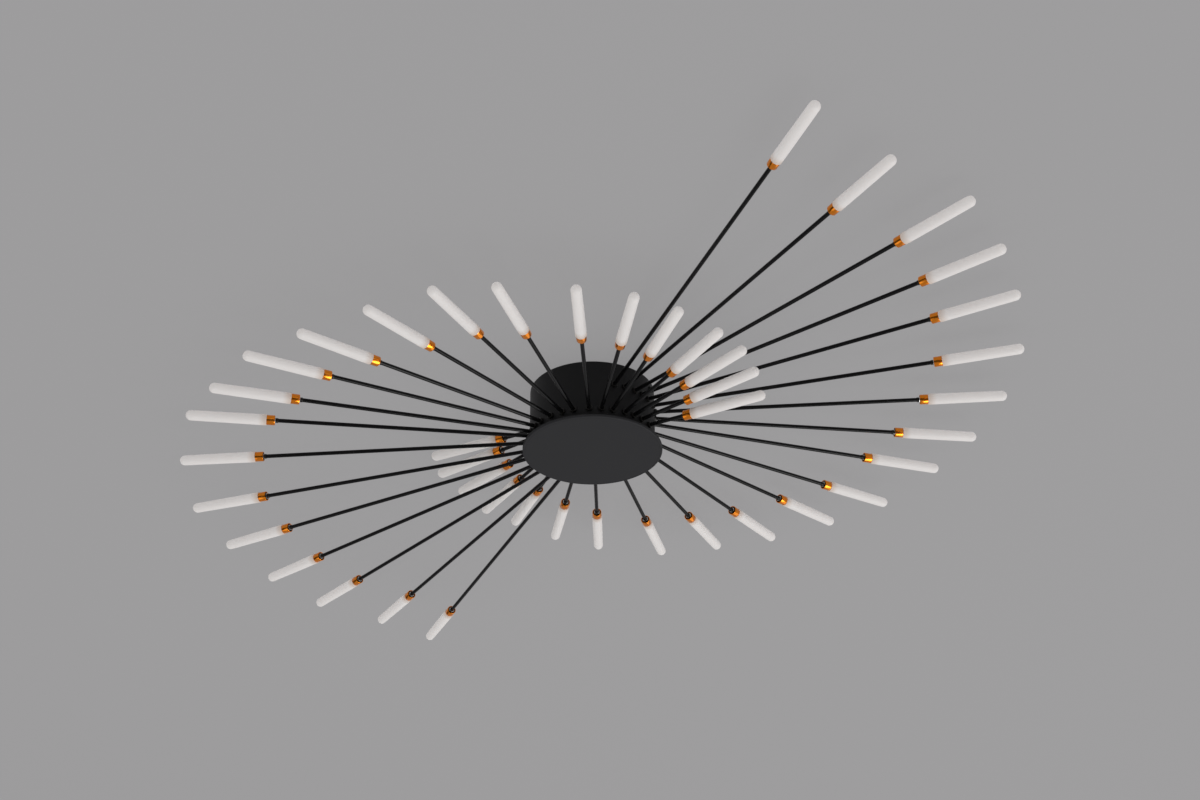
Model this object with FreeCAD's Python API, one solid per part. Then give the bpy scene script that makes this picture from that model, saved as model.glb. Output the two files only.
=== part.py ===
import FreeCAD, Part
import math
import os

# A ceiling light: forty-two slim lamps on rods that fan out of a round canopy in two tiers.
# One tier starts half a turn from the other, and its rods grow shorter from lamp to lamp.
# Lengths are in millimetres and angles in degrees. The ceiling is the plane z = 0, the light
# hangs below it, and X runs along the bracket that is screwed to the ceiling.

# Canopy drum, a pressed steel cup that is open at the ceiling
DRUM_DIAMETER = 160.0
DRUM_DEPTH = 82.0
DRUM_SHEET = 1.2

# Cover disc under the drum, a plate with a bevelled edge and studs on its back
COVER_DIAMETER = 178.0
COVER_THICKNESS = 4.0
COVER_BEVEL = 1.5
COVER_STUD_DIAMETER = 4.0
COVER_STUD_LENGTH = 6.0
COVER_STUD_RADIUS = 55.0
COVER_STUD_COUNT = 3
COVER_STUD_BEARING = 90.0

# Two tiers of lamps, each lamp turned by a pitch from the last and drawn in by an even step. The lower
# tier is set out from the drum's bottom and the upper one from the ceiling. A reach is counted from the
# drum's axis to the diffuser, and the shortest one's standoff from the drum's wall.
TIER_COUNT = 21
LOWER_TIER_RISE = 13.5
UPPER_TIER_DROP = 31.5
LOWER_TIER_BEARING = 131.5
UPPER_TIER_BEARING = -48.5
LAMP_PITCH = 11.25
LONGEST_REACH = 568.0
SHORTEST_STANDOFF = 58.0

# How far each hand-bent rod stands off the even pitch and the even step, as shares of them
LOWER_TURN_SHARES = (
    0.35, 0.05, -0.1, -0.25, -0.3, -0.3, -0.1, 0.05, -0.2, -0.25, -0.35,
    -0.2, -0.1, -0.15, 0.1, 0.1, 0.0, 0.05, -0.1, -0.2, -0.1,
)
LOWER_REACH_SHARES = (
    0.0, -0.2, 0.7, 0.7, 0.5, 0.5, -0.1, -0.3, -0.5, -0.5, -1.1,
    -1.3, -0.8, -0.8, -0.8, -0.4, -0.2, -0.2, 0.1, 0.1, 0.1,
)
UPPER_TURN_SHARES = (
    0.15, 0.1, 0.1, -0.05, -0.2, -0.1, -0.05, 0.0, -0.05, 0.15, 0.1,
    0.15, 0.1, 0.1, 0.25, 0.15, 0.15, 0.0, 0.0, 0.05, -0.05,
)
UPPER_REACH_SHARES = (
    -0.1, -1.1, -0.2, -0.4, -0.5, -0.5, -0.5, -0.4, -0.2, 0.3, 0.3,
    0.5, 0.7, 1.2, 0.7, 0.4, 0.0, 0.2, -0.1, 0.1, 0.1,
)

# Rod, clamped in the drum's wall by an inner nut, which is one solid with it, and an outer nut
ROD_DIAMETER = 5.0
ROD_HOLE_CLEARANCE = 0.2
NUT_THICKNESS = 3.0
NUT_ACROSS_FLATS = 8.0
NUT_BORE_CLEARANCE = 0.1

# Lamp cap, with a cup at its back round the rod and a spigot that plugs into the diffuser
CAP_DIAMETER = 12.6
CAP_LENGTH = 10.4
CAP_CUP_DIAMETER = 10.6
CAP_CUP_DEPTH = 5.0
CAP_SPIGOT_LENGTH = 6.0
CAP_SPIGOT_CLEARANCE = 0.1

# Diffuser, a frosted tube with a round end
TUBE_DIAMETER = 14.0
TUBE_END_DIAMETER = 13.0
TUBE_LENGTH = 100.0
TUBE_BORE_DIAMETER = 10.6
TUBE_DOME_ANGLES = (0.0, 45.0)

# Light board inside each diffuser
BOARD_WIDTH = 6.0
BOARD_THICKNESS = 1.6
BOARD_END_GAP = 1.0

# Ceiling bracket, a steel strip with an ear bent down at each end
BRACKET_WIDTH = 24.0
BRACKET_SHEET = 2.0
BRACKET_BEND_RADIUS = 2.0
EAR_WIDTH = 14.0
EAR_DROP = 20.0
EAR_GAP = 0.3
SLOT_SPACING = 90.0
SLOT_LENGTH = 16.0
SLOT_WIDTH = 5.0
CABLE_HOLE_DIAMETER = 12.0

# Canopy screws, one through each side of the drum into an ear
SCREW_DROP = 12.0
SCREW_DIAMETER = 4.0
SCREW_RUNNING_CLEARANCE = 0.05
SCREW_HOLE_CLEARANCE = 0.4
SCREW_HEAD_DIAMETER = 7.0
SCREW_HEAD_THICKNESS = 2.8
SCREW_HEAD_ROUNDING = 1.2
SCREW_TIP_LENGTH = 3.0

# Earth screw in the bracket
EARTH_PLACE = -26.0
EARTH_SCREW_DIAMETER = 4.0
EARTH_HEAD_DIAMETER = 8.0
EARTH_HEAD_THICKNESS = 2.4
EARTH_WASHER_DIAMETER = 10.0
EARTH_WASHER_THICKNESS = 1.0
EARTH_SCREW_CLEARANCE = 0.1

# Terminal block under the bracket
TERMINAL_PLACE = 26.0
TERMINAL_WIDTH = 16.0
TERMINAL_DEPTH = 14.0
TERMINAL_POLES = 3
TERMINAL_POLE_PITCH = 8.0
TERMINAL_WIRE_HOLE = 3.6
TERMINAL_SCREW_WELL = 3.4
TERMINAL_WELL_DEPTH = 5.0

# Driver that lies on the drum's floor
DRIVER_LENGTH = 88.0
DRIVER_WIDTH = 40.0
DRIVER_HEIGHT = 25.0
DRIVER_EDGE_CHAMFER = 2.0
DRIVER_LUG_LENGTH = 9.0
DRIVER_LUG_WIDTH = 16.0
DRIVER_LUG_THICKNESS = 3.0
DRIVER_SCREW_DIAMETER = 3.0
DRIVER_SCREW_CLEARANCE = 0.1
DRIVER_SCREW_HEAD_DIAMETER = 5.6
DRIVER_SCREW_HEAD_THICKNESS = 1.8

# Flats round the turned pieces. The lamps repeat so often that each one has few of them.
WALL_SIDES = 72
ROUND_SIDES = 8
HEX_SIDES = 6
SCREW_HEAD_SIDES = 12

# The gap between a flat face and the drum's round wall, and how far a cut runs past its piece
SEAT_GAP = 0.1
OVERRUN = 1.0

# Heights and radii that several pieces share
HALF = 0.5
DRUM_RADIUS = DRUM_DIAMETER * HALF
DRUM_INNER_RADIUS = DRUM_RADIUS - DRUM_SHEET
DRUM_FLOOR_TOP = DRUM_SHEET - DRUM_DEPTH
LOWER_TIER_DROP = DRUM_DEPTH - LOWER_TIER_RISE
REACH_STEP = (LONGEST_REACH - DRUM_RADIUS - SHORTEST_STANDOFF) / (TIER_COUNT - 1)
NUT_CORNER_RADIUS = NUT_ACROSS_FLATS * HALF / math.cos(math.pi / HEX_SIDES)
TUBE_SHOULDER = TUBE_LENGTH - TUBE_END_DIAMETER * HALF
X_AXIS = FreeCAD.Vector(1, 0, 0)
Y_AXIS = FreeCAD.Vector(0, 1, 0)
Z_AXIS = FreeCAD.Vector(0, 0, 1)
ORIGIN = FreeCAD.Vector(0, 0, 0)


def place(x, y, z):
    return FreeCAD.Vector(x, y, z)


def face_of(corners):
    return Part.Face(Part.makePolygon(corners + corners[:1]))


def ring(along, radius, sides):
    """Corners of a regular polygon across the X axis, with one corner at its top."""
    turns = [math.tau * k / sides + math.pi * HALF for k in range(sides)]
    return [place(along, radius * math.cos(t), radius * math.sin(t)) for t in turns]


def turned(stations, sides):
    """A solid with flats round the X axis, through (place, radius) stations; the last may be a point."""
    faces = [face_of(ring(*stations[0], sides))]
    for (near, near_radius), (far, far_radius) in zip(stations, stations[1:]):
        back = ring(near, near_radius, sides)
        front = ring(far, far_radius, sides)
        for k in range(sides):
            after = (k + 1) % sides
            corners = [back[k], back[after], front[after], front[k]]
            if far_radius == 0:
                corners.pop()
            faces.append(face_of(corners))
    if stations[-1][1] > 0:
        faces.append(face_of(ring(*stations[-1], sides)))
    return Part.Solid(Part.Shell(faces))


def square_bar(start, end, width):
    """A square bar along the X axis."""
    return Part.makeBox(end - start, width, width, place(start, -width * HALF, -width * HALF))


def nut(start, bolt_diameter):
    """A nut along the X axis, with a square bore that its bolt hides."""
    end = start + NUT_THICKNESS
    body = turned([(start, NUT_CORNER_RADIUS), (end, NUT_CORNER_RADIUS)], HEX_SIDES)
    bore_width = bolt_diameter + NUT_BORE_CLEARANCE + NUT_BORE_CLEARANCE
    return body.cut(square_bar(start - OVERRUN, end + OVERRUN, bore_width))


def block(length, width, height, base):
    """A box that stands on the point base, with that point under its middle."""
    corner = place(base.x - length * HALF, base.y - width * HALF, base.z)
    return Part.makeBox(length, width, height, corner)


def stood_up(piece, base):
    """Turns a piece made along the X axis up along Z and moves it from the origin to the point base."""
    piece.rotate(ORIGIN, Y_AXIS, -90)
    piece.translate(base)
    return piece


def upright(stations, sides, base):
    return stood_up(turned(stations, sides), base)


def lamps(drop, bearing, turn_shares, reach_shares):
    """Each lamp of a tier as its turn about the drum, its drop and its reach to the diffuser."""
    tier = []
    for k in range(TIER_COUNT):
        turn = bearing + LAMP_PITCH * (k + turn_shares[k])
        reach = LONGEST_REACH - REACH_STEP * (k - reach_shares[k])
        tier.append((turn, drop, reach))
    return tier


LOWER_LAMPS = lamps(LOWER_TIER_DROP, LOWER_TIER_BEARING, LOWER_TURN_SHARES, LOWER_REACH_SHARES)
UPPER_LAMPS = lamps(UPPER_TIER_DROP, UPPER_TIER_BEARING, UPPER_TURN_SHARES, UPPER_REACH_SHARES)


def on_lamp(piece, lamp):
    """Turns a piece made along the X axis out to its lamp's bearing and down to its tier."""
    turn, drop, _ = lamp
    piece.rotate(ORIGIN, Z_AXIS, turn)
    piece.translate(place(0, 0, -drop))
    return piece


def tier_of(make, tier):
    return Part.makeCompound([on_lamp(make(lamp), lamp) for lamp in tier])


def rod(lamp):
    """The rod runs from its inner nut against the drum's wall to the web of its lamp's cap."""
    seat = math.sqrt(DRUM_INNER_RADIUS ** 2 - NUT_CORNER_RADIUS ** 2) - SEAT_GAP
    web = lamp[2] - CAP_LENGTH + CAP_CUP_DEPTH
    bar = turned([(seat, ROD_DIAMETER * HALF), (web, ROD_DIAMETER * HALF)], HEX_SIDES)
    inner_nut = turned([(seat - NUT_THICKNESS, NUT_CORNER_RADIUS), (seat, NUT_CORNER_RADIUS)], HEX_SIDES)
    return bar.fuse(inner_nut)


def outer_nut(lamp):
    """The nut that clamps a rod from outside the drum's wall."""
    return nut(DRUM_RADIUS + SEAT_GAP, ROD_DIAMETER)


def lamp_cap(lamp):
    """The turned metal cap between the rod and the diffuser."""
    mouth = lamp[2]
    back = mouth - CAP_LENGTH
    spigot_radius = TUBE_BORE_DIAMETER * HALF - CAP_SPIGOT_CLEARANCE
    body = turned([(back, CAP_DIAMETER * HALF), (mouth, CAP_DIAMETER * HALF)], ROUND_SIDES)
    cup = turned(
        [(back - OVERRUN, CAP_CUP_DIAMETER * HALF), (back + CAP_CUP_DEPTH, CAP_CUP_DIAMETER * HALF)],
        HEX_SIDES,
    )
    spigot = turned([(mouth, spigot_radius), (mouth + CAP_SPIGOT_LENGTH, spigot_radius)], HEX_SIDES)
    return body.cut(cup).fuse(spigot)


def diffuser(lamp):
    """The frosted tube, tapered a little to the ball of its round end."""
    mouth = lamp[2]
    shoulder = mouth + TUBE_SHOULDER
    end_radius = TUBE_END_DIAMETER * HALF
    stations = [(mouth, TUBE_DIAMETER * HALF)]
    for angle in TUBE_DOME_ANGLES:
        bend = math.radians(angle)
        stations.append((shoulder + end_radius * math.sin(bend), end_radius * math.cos(bend)))
    stations.append((mouth + TUBE_LENGTH, 0))
    bore_radius = TUBE_BORE_DIAMETER * HALF
    bore = turned([(mouth - OVERRUN, bore_radius), (shoulder, bore_radius)], HEX_SIDES)
    return turned(stations, ROUND_SIDES).cut(bore)


def led_board(lamp):
    """The strip of lights, from the cap's spigot to near the diffuser's round end."""
    start = lamp[2] + CAP_SPIGOT_LENGTH
    length = TUBE_SHOULDER - CAP_SPIGOT_LENGTH - BOARD_END_GAP
    corner = place(start, -BOARD_WIDTH * HALF, -BOARD_THICKNESS * HALF)
    return Part.makeBox(length, BOARD_WIDTH, BOARD_THICKNESS, corner)


def rod_hole(lamp):
    """The square hole that a rod leaves the drum by, out of sight between its two nuts."""
    width = ROD_DIAMETER + ROD_HOLE_CLEARANCE + ROD_HOLE_CLEARANCE
    return on_lamp(square_bar(DRUM_INNER_RADIUS - OVERRUN, DRUM_RADIUS + OVERRUN, width), lamp)


def stud_places():
    """Where the cover's studs pass through the drum's floor."""
    bearings = [COVER_STUD_BEARING + 360 * k / COVER_STUD_COUNT for k in range(COVER_STUD_COUNT)]
    return [
        (COVER_STUD_RADIUS * math.cos(math.radians(b)), COVER_STUD_RADIUS * math.sin(math.radians(b)))
        for b in bearings
    ]


def driver_screw_places():
    return [side * (DRIVER_LENGTH + DRIVER_LUG_LENGTH) * HALF for side in (-1, 1)]


def canopy_drum():
    """The pressed drum with its rod holes, side screw holes and the holes in its floor."""
    wall = upright([(-DRUM_DEPTH, DRUM_RADIUS), (0, DRUM_RADIUS)], WALL_SIDES, ORIGIN)
    hollow = upright([(DRUM_FLOOR_TOP, DRUM_INNER_RADIUS), (OVERRUN, DRUM_INNER_RADIUS)], WALL_SIDES, ORIGIN)
    holes = [rod_hole(lamp) for lamp in LOWER_LAMPS + UPPER_LAMPS]
    screw_radius = SCREW_DIAMETER * HALF + SCREW_HOLE_CLEARANCE
    reach = DRUM_RADIUS + OVERRUN
    across = turned([(-reach, screw_radius), (reach, screw_radius)], ROUND_SIDES)
    across.translate(place(0, 0, -SCREW_DROP))
    holes.append(across)
    below = -DRUM_DEPTH - OVERRUN
    through = DRUM_SHEET + OVERRUN + OVERRUN
    stud_radius = COVER_STUD_DIAMETER * HALF + ROD_HOLE_CLEARANCE
    for x, y in stud_places():
        holes.append(upright([(0, stud_radius), (through, stud_radius)], ROUND_SIDES, place(x, y, below)))
    fixing_radius = DRIVER_SCREW_DIAMETER * HALF + DRIVER_SCREW_CLEARANCE
    for x in driver_screw_places():
        holes.append(upright([(0, fixing_radius), (through, fixing_radius)], ROUND_SIDES, place(x, 0, below)))
    return wall.cut([hollow] + holes)


def cover_disc():
    """The plate under the drum, with its lower edge bevelled and studs up through the drum's floor."""
    outer = COVER_DIAMETER * HALF
    bottom = -DRUM_DEPTH - COVER_THICKNESS
    stations = [(bottom, outer - COVER_BEVEL), (bottom + COVER_BEVEL, outer), (-DRUM_DEPTH, outer)]
    plate = upright(stations, WALL_SIDES, ORIGIN)
    stud_radius = COVER_STUD_DIAMETER * HALF
    stud = [(0, stud_radius), (COVER_STUD_LENGTH, stud_radius)]
    return plate.fuse([upright(stud, ROUND_SIDES, place(x, y, -DRUM_DEPTH)) for x, y in stud_places()])


def cover_nuts():
    """A nut on each of the cover's studs, inside the drum."""
    return Part.makeCompound([
        stood_up(nut(0, COVER_STUD_DIAMETER), place(x, y, DRUM_FLOOR_TOP)) for x, y in stud_places()
    ])


def ear_face():
    """How far out the ears' flat faces stand inside the round drum."""
    return math.sqrt(DRUM_INNER_RADIUS ** 2 - (EAR_WIDTH * HALF) ** 2) - EAR_GAP


def slot(x):
    """A slot along X through the bracket, for a ceiling screw."""
    radius = SLOT_WIDTH * HALF
    straight = SLOT_LENGTH - SLOT_WIDTH
    depth = BRACKET_SHEET + OVERRUN + OVERRUN
    bottom = -BRACKET_SHEET - OVERRUN
    middle = block(straight, SLOT_WIDTH, depth, place(x, 0, bottom))
    ends = (x - straight * HALF, x + straight * HALF)
    return middle.fuse([Part.makeCylinder(radius, depth, place(end, 0, bottom)) for end in ends])


def bend_edges(strip, out, height):
    """The strip's two edges along Y at this distance out and at this height."""
    found = []
    for edge in strip.Edges:
        middle = edge.CenterOfMass
        away = math.hypot(abs(middle.x) - out, middle.z - height)
        if edge.BoundBox.YLength > EAR_WIDTH and away < BRACKET_SHEET * HALF:
            found.append(edge)
    return found


def ceiling_bracket():
    """The strip that is screwed to the ceiling, with its two ears bent down."""
    far = ear_face()
    near = far - BRACKET_SHEET
    strip = face_of([
        place(-far, 0, -EAR_DROP),
        place(-far, 0, 0),
        place(far, 0, 0),
        place(far, 0, -EAR_DROP),
        place(near, 0, -EAR_DROP),
        place(near, 0, -BRACKET_SHEET),
        place(-near, 0, -BRACKET_SHEET),
        place(-near, 0, -EAR_DROP),
    ]).extrude(Y_AXIS * BRACKET_WIDTH)
    strip.translate(place(0, -BRACKET_WIDTH * HALF, 0))
    outer_bend = BRACKET_BEND_RADIUS + BRACKET_SHEET
    strip = strip.makeFillet(BRACKET_BEND_RADIUS, bend_edges(strip, near, -BRACKET_SHEET))
    strip = strip.makeFillet(outer_bend, bend_edges(strip, far, 0))
    trim = (BRACKET_WIDTH - EAR_WIDTH) * HALF
    trim_middle = (BRACKET_WIDTH - trim) * HALF
    trim_length = outer_bend + outer_bend
    cutters = [slot(side * SLOT_SPACING * HALF) for side in (-1, 1)]
    for side in (-1, 1):
        for flank in (-1, 1):
            corner = place(side * far, flank * trim_middle, -EAR_DROP - OVERRUN)
            cutters.append(block(trim_length, trim, EAR_DROP + OVERRUN + OVERRUN, corner))
    start = place(-far - OVERRUN, 0, -SCREW_DROP)
    screw_radius = SCREW_DIAMETER * HALF + SCREW_RUNNING_CLEARANCE
    cutters.append(Part.makeCylinder(screw_radius, far + far + OVERRUN + OVERRUN, start, X_AXIS))
    depth = BRACKET_SHEET + OVERRUN + OVERRUN
    bottom = -BRACKET_SHEET - OVERRUN
    cutters.append(Part.makeCylinder(CABLE_HOLE_DIAMETER * HALF, depth, place(0, 0, bottom)))
    earth_radius = EARTH_SCREW_DIAMETER * HALF + EARTH_SCREW_CLEARANCE
    earth_hole = [(0, earth_radius), (depth, earth_radius)]
    cutters.append(upright(earth_hole, ROUND_SIDES, place(EARTH_PLACE, 0, bottom)))
    return strip.cut(cutters)


def canopy_screw(side):
    """A round-headed screw that holds the drum to an ear of the bracket."""
    radius = SCREW_DIAMETER * HALF
    head_radius = SCREW_HEAD_DIAMETER * HALF
    tip = ear_face() - BRACKET_SHEET - SCREW_TIP_LENGTH
    under_head = DRUM_RADIUS + SEAT_GAP
    start = place(side * tip, 0, -SCREW_DROP)
    shank = Part.makeCylinder(radius, under_head - tip, start, X_AXIS * side)
    head = turned(
        [
            (under_head, head_radius),
            (under_head + SCREW_HEAD_THICKNESS - SCREW_HEAD_ROUNDING, head_radius),
            (under_head + SCREW_HEAD_THICKNESS, head_radius - SCREW_HEAD_ROUNDING),
        ],
        SCREW_HEAD_SIDES,
    )
    if side < 0:
        head.rotate(ORIGIN, Z_AXIS, 180)
    head.translate(place(0, 0, -SCREW_DROP))
    return shank.fuse(head)


def earth_screw():
    """The earth screw with its washer, up through the bracket from below."""
    washer_bottom = -BRACKET_SHEET - EARTH_WASHER_THICKNESS
    head_bottom = washer_bottom - EARTH_HEAD_THICKNESS
    steps = []
    for low, high, diameter in (
        (head_bottom, washer_bottom, EARTH_HEAD_DIAMETER),
        (washer_bottom, -BRACKET_SHEET, EARTH_WASHER_DIAMETER),
        (-BRACKET_SHEET, 0, EARTH_SCREW_DIAMETER),
    ):
        radius = diameter * HALF
        steps.append(upright([(low, radius), (high, radius)], ROUND_SIDES, place(EARTH_PLACE, 0, 0)))
    return steps[0].fuse(steps[1:])


def terminal_block():
    """A block of terminals with a wire hole and a screw well for each pole."""
    length = TERMINAL_POLES * TERMINAL_POLE_PITCH
    bottom = -BRACKET_SHEET - TERMINAL_DEPTH
    body = block(TERMINAL_WIDTH, length, TERMINAL_DEPTH, place(TERMINAL_PLACE, 0, bottom))
    cutters = []
    wire_radius = TERMINAL_WIRE_HOLE * HALF
    well_radius = TERMINAL_SCREW_WELL * HALF
    for k in range(TERMINAL_POLES):
        y = (k + HALF) * TERMINAL_POLE_PITCH - length * HALF
        run = turned([(-OVERRUN, wire_radius), (TERMINAL_WIDTH + OVERRUN, wire_radius)], ROUND_SIDES)
        run.translate(place(TERMINAL_PLACE - TERMINAL_WIDTH * HALF, y, bottom + TERMINAL_DEPTH * HALF))
        well = [(-OVERRUN, well_radius), (TERMINAL_WELL_DEPTH, well_radius)]
        cutters += [run, upright(well, ROUND_SIDES, place(TERMINAL_PLACE, y, bottom))]
    return body.cut(cutters)


def led_driver():
    """The driver's case, with a screw lug at each end."""
    case = block(DRIVER_LENGTH, DRIVER_WIDTH, DRIVER_HEIGHT, place(0, 0, DRUM_FLOOR_TOP))
    top = DRUM_FLOOR_TOP + DRIVER_HEIGHT
    edges = [edge for edge in case.Edges if edge.BoundBox.ZMin > top - DRIVER_EDGE_CHAMFER]
    case = case.makeChamfer(DRIVER_EDGE_CHAMFER, edges)
    lugs = []
    holes = []
    radius = DRIVER_SCREW_DIAMETER * HALF + DRIVER_SCREW_CLEARANCE
    hole = [(-OVERRUN, radius), (DRIVER_LUG_THICKNESS + OVERRUN, radius)]
    for x in driver_screw_places():
        base = place(x, 0, DRUM_FLOOR_TOP)
        lugs.append(block(DRIVER_LUG_LENGTH, DRIVER_LUG_WIDTH, DRIVER_LUG_THICKNESS, base))
        holes.append(upright(hole, ROUND_SIDES, base))
    return case.fuse(lugs).cut(holes)


def driver_screws():
    """The two screws that hold the driver to the drum's floor."""
    radius = DRIVER_SCREW_DIAMETER * HALF
    head_radius = DRIVER_SCREW_HEAD_DIAMETER * HALF
    seat = DRUM_FLOOR_TOP + DRIVER_LUG_THICKNESS
    shank = [(-DRUM_DEPTH, radius), (seat, radius)]
    head = [(seat, head_radius), (seat + DRIVER_SCREW_HEAD_THICKNESS, head_radius)]
    screws = []
    for x in driver_screw_places():
        middle = place(x, 0, 0)
        screws.append(upright(shank, ROUND_SIDES, middle).fuse(upright(head, ROUND_SIDES, middle)))
    return Part.makeCompound(screws)


def all_nodes():
    nodes = {
        "ceiling_bracket": ceiling_bracket(),
        "canopy_drum": canopy_drum(),
        "cover_disc": cover_disc(),
        "cover_nuts": cover_nuts(),
        "canopy_screw_a": canopy_screw(1),
        "canopy_screw_b": canopy_screw(-1),
        "earth_screw": earth_screw(),
        "terminal_block": terminal_block(),
        "led_driver": led_driver(),
        "driver_screws": driver_screws(),
    }
    for name, tier in (("lower", LOWER_LAMPS), ("upper", UPPER_LAMPS)):
        nodes[name + "_rod_nuts"] = tier_of(outer_nut, tier)
        nodes[name + "_lamp_caps"] = tier_of(lamp_cap, tier)
        nodes[name + "_diffusers"] = tier_of(diffuser, tier)
        nodes[name + "_led_boards"] = tier_of(led_board, tier)
        for k, lamp in enumerate(tier):
            nodes["%s_rod_%02d" % (name, k + 1)] = on_lamp(rod(lamp), lamp)
    return nodes


os.makedirs("parts", exist_ok=True)
for node, shape in all_nodes().items():
    shape.exportStep("parts/" + node + ".step")
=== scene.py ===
import math

import bmesh
import bpy
from mathutils import Matrix, Vector


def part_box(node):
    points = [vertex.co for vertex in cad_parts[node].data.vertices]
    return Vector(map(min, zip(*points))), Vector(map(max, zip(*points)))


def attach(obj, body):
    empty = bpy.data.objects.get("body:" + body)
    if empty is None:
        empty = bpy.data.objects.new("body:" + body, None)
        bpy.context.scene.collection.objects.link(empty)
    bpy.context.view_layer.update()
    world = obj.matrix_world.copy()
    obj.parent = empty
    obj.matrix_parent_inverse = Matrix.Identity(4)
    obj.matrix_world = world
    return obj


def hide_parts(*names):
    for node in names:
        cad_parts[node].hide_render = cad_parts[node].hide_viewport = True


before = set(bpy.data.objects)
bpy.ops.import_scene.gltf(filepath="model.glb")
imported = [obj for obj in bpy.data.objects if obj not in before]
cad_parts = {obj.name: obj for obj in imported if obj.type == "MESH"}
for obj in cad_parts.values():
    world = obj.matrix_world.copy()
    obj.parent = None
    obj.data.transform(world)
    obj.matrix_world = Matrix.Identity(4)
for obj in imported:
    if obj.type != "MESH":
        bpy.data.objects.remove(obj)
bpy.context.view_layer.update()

# The looks of a ceiling light: forty-two frosted lamps in copper caps on black rods, in two tiers.
# Sizes are in millimetres here, and are turned to metres where a mesh or a pattern is made.
MM = 0.001
ROOT = "canopy"
TIERS = ("lower", "upper")

# Lamp: places along its axis count from the mouth of the frosted tube. The tube is a little shorter
# than its solid, so that its full round end keeps inside the solid's box.
TUBE_LENGTH = 99.6
TUBE_BASE_RADIUS = 7.0
TUBE_END_RADIUS = 6.5
TUBE_BORE_RADIUS = 5.3
TUBE_EDGE = 0.5
CAP_LENGTH = 10.4
CAP_RADIUS = 6.3
CAP_EDGE = 0.35
CUP_RADIUS = 5.3
CUP_DEPTH = 5.0
CUP_EDGE = 0.25
SPIGOT_LENGTH = 6.0
SPIGOT_RADIUS = 5.2
WEB_PLACE = CAP_LENGTH - CUP_DEPTH
TURNING_MARK_PITCH = 0.9
TURNING_MARK_DEPTH = 0.004
TURNING_MARK_STRENGTH = 0.3
MOUTH_SHADE_LENGTH = 12.0
TURNED_SIDES = 32

# Rod, the nuts that clamp it in the drum's wall, and the nut and collar that hold its cap
ROD_RADIUS = 2.5
ROD_SIDES = 20
ROD_STUB_LENGTH = 6.0
NUT_ACROSS = 8.0
CAP_NUT_ACROSS = 7.0
NUT_HEIGHT = 3.0
NUT_BORE_RADIUS = 2.6
NUT_BEVEL = 0.25
NUT_CHAMFER_ANGLE = 30.0
NUT_CHAMFER_SHARE = 0.94
NUT_SIDES = 24
CAP_NUT_HEIGHT = 5.8
COLLAR_RADIUS = 3.0
COLLAR_LENGTH = 3.2
COLLAR_EDGE = 0.4
SEAT_GAP = 0.1

# Threads: the ridge's depth, its pitch and the rings that draw one turn of it
THREAD_DEPTH = 0.32
THREAD_PITCH = 0.8
THREAD_RINGS = 6
THREAD_SIDES = 12

# Shares of a screw's head: its brow's drop, its flat crown, and its recess's arms, width and depth
HEAD_BROW_SHARE = 0.75
HEAD_CROWN_SHARE = 0.45
RECESS_ARM_SHARE = 1.15
RECESS_WIDTH_SHARE = 0.26
RECESS_DEPTH_SHARE = 0.55

# Light board and its chips
BOARD_THICKNESS = 1.6
BOARD_WIDTH = 6.0
BOARD_LENGTH = 86.5
BOARD_EDGE = 0.15
CHIP_COUNT = 12
CHIP_PITCH = 6.9
CHIP_LENGTH = 3.5
CHIP_WIDTH = 2.8
CHIP_HEIGHT = 0.7
CHIP_FRAME = 0.5

# Canopy: the drum is a pressed cup, and the disc is a plate under it
DRUM_LOW, DRUM_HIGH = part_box("canopy_drum")
DRUM_RADIUS = DRUM_HIGH.x / MM
DRUM_BOTTOM = DRUM_LOW.z / MM
DRUM_SHEET = 1.2
DRUM_INNER_RADIUS = DRUM_RADIUS - DRUM_SHEET
DRUM_FLOOR_TOP = DRUM_BOTTOM + DRUM_SHEET
DRUM_BEND = 2.2
DRUM_SIDES = 160
ROD_HOLE_RADIUS = 2.7
ROD_HOLE_SIDES = 16
DISC_LOW, DISC_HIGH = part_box("cover_disc")
DISC_RADIUS = DISC_HIGH.x / MM
DISC_BOTTOM = DISC_LOW.z / MM
DISC_EDGE = 1.3
DISC_BACK_EDGE = 0.4
DISC_GROOVE_INSET = 1.2
DISC_GROOVE_WIDTH = 1.2
DISC_GROOVE_DEPTH = 0.2
STUD_RADIUS = 2.0
STUD_CIRCLE = 55.0
STUD_TURNS = (90.0, 210.0, 330.0)

# Canopy screws, which turn about a line along X at their drop
SCREW_LOW, SCREW_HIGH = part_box("canopy_screw_a")
SCREW_DROP = -(SCREW_LOW.z + SCREW_HIGH.z) / 2 / MM
SCREW_RADIUS = 2.0
SCREW_HEAD_RADIUS = 3.5
SCREW_HEAD_HEIGHT = 2.8
SCREW_HOLE_RADIUS = 2.4

# Bracket, a bent steel strip
BRACKET_LOW, BRACKET_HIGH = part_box("ceiling_bracket")
EAR_FACE = BRACKET_HIGH.x / MM
EAR_DROP = -BRACKET_LOW.z / MM
BRACKET_WIDTH = 24.0
BRACKET_SHEET = 2.0
BRACKET_BEND = 2.0
BRACKET_EDGE = 0.25
EAR_WIDTH = 14.0
SLOT_PLACE = 45.0
SLOT_LENGTH = 16.0
SLOT_WIDTH = 5.0
CABLE_HOLE_RADIUS = 6.0

# Earth screw and its serrated washer
EARTH_PLACE = -26.0
EARTH_RADIUS = 2.0
EARTH_HEAD_RADIUS = 4.0
EARTH_HEAD_HEIGHT = 2.4
WASHER_THICKNESS = 1.0
WASHER_RADIUS = 5.0
WASHER_TEETH = 12
WASHER_TOOTH = 0.7

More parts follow.
